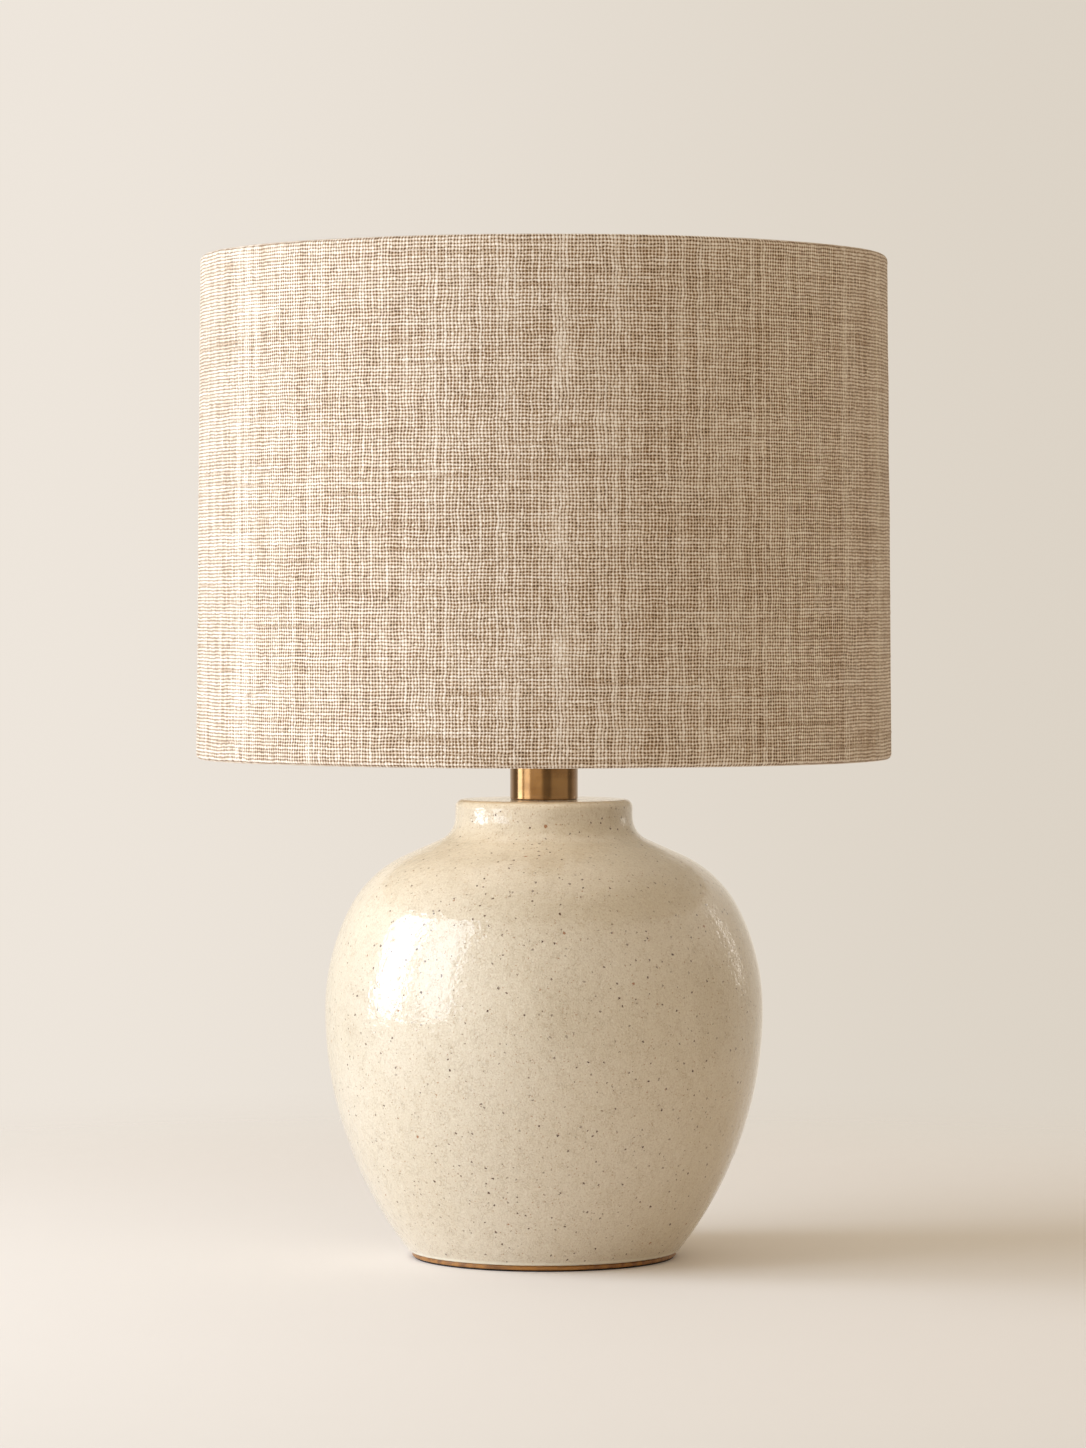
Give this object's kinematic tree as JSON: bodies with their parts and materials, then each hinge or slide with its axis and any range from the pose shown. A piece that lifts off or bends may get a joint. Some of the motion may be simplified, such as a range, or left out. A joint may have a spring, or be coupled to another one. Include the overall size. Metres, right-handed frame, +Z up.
{
  "type": "ginger jar lamp",
  "caption": "Table lamp with a glazed ginger jar base on a thin wooden foot, a brass neck, a harp and a drum shade in slub linen.",
  "frame": {"origin": "on the table, under the middle of the foot", "axes": "+Z up along the lamp's axis, -Y towards the viewer of the picture, +X to the right"},
  "size_m": [0.3566, 0.3566, 0.5136],
  "materials": {
    "glaze": "cream gloss glaze with iron specks",
    "foot_wood": "stained and oiled",
    "felt": "dark felt",
    "bush_plastic": "moulded nylon",
    "zinc_steel": "zinc plated",
    "black_rubber": "matte",
    "antique_brass": "satin antique brass",
    "vulcan_fibre": "varnished fibre",
    "phenolic": "moulded phenolic",
    "socket_aluminium": "stamped",
    "contact_brass": "bright",
    "switch_black": "moulded",
    "opal_glass": "frosted inside",
    "bulb_nickel": "nickel plated",
    "linen": "natural slub linen",
    "shade_lining_white": "styrene sheet",
    "ring_white": "powder coated wire"
  },
  "bodies": {
    "base": {"foot_pad": "felt", "foot_disc": "foot_wood", "jar": "glaze", "cord_bush": "bush_plastic", "threaded_nipple": "zinc_steel", "deck_gasket": "black_rubber", "clamp_washer": "zinc_steel", "lock_washer": "zinc_steel", "clamp_nut": "zinc_steel", "neck_sleeve": "antique_brass", "neck_cap": "antique_brass", "harp_saddle": "antique_brass", "socket_cap": "antique_brass", "cap_set_screw": "zinc_steel", "socket_shell": "antique_brass", "socket_liner": "vulcan_fibre", "socket_body": "phenolic", "screw_shell": "socket_aluminium", "centre_contact": "contact_brass", "terminal_screws": "contact_brass"},
    "switch": {"switch_spindle": "contact_brass", "switch_knob": "switch_black"},
    "bulb": {"bulb_globe": "opal_glass", "bulb_cap": "bulb_nickel", "bulb_insulator": "phenolic", "bulb_contact": "bulb_nickel"},
    "harp": {"harp": "antique_brass"},
    "sleeve_left": {"harp_sleeve_left": "antique_brass"},
    "sleeve_right": {"harp_sleeve_right": "antique_brass"},
    "seat": {"swivel_stud": "antique_brass"},
    "shade": {"shade_cover": "linen", "shade_lining": "shade_lining_white", "shade_ring": "ring_white", "shade_fitter": "ring_white"},
    "finial": {"finial": "antique_brass"}
  },
  "joints": [
    {"name": "switch_turn", "type": "hinge", "parent": "base", "child": "switch", "pos_m": [0, -0.02, 0.2931], "axis": [0, -1, 0], "continuous": true},
    {"name": "bulb_lift", "type": "slide", "parent": "base", "child": "bulb", "axis": [0, 0, 1], "range_m": [0, 0.03]},
    {"name": "harp_lift", "type": "slide", "parent": "base", "child": "harp", "axis": [0, 0, 1], "range_m": [0, 0.025]},
    {"name": "sleeve_left_slide", "type": "slide", "parent": "harp", "child": "sleeve_left", "axis": [0, 0, 1], "range_m": [0, 0.015]},
    {"name": "sleeve_right_slide", "type": "slide", "parent": "harp", "child": "sleeve_right", "axis": [0, 0, 1], "range_m": [0, 0.015]},
    {"name": "seat_swivel", "type": "hinge", "parent": "harp", "child": "seat", "pos_m": [0, 0, 0.487], "axis": [0, 0, 1], "continuous": true},
    {"name": "shade_lift", "type": "slide", "parent": "seat", "child": "shade", "axis": [0, 0, 1], "range_m": [0, 0.26]},
    {"name": "finial_turn", "type": "hinge", "parent": "shade", "child": "finial", "pos_m": [0, 0, 0.492], "axis": [0, 0, 1], "continuous": true}
  ]
}
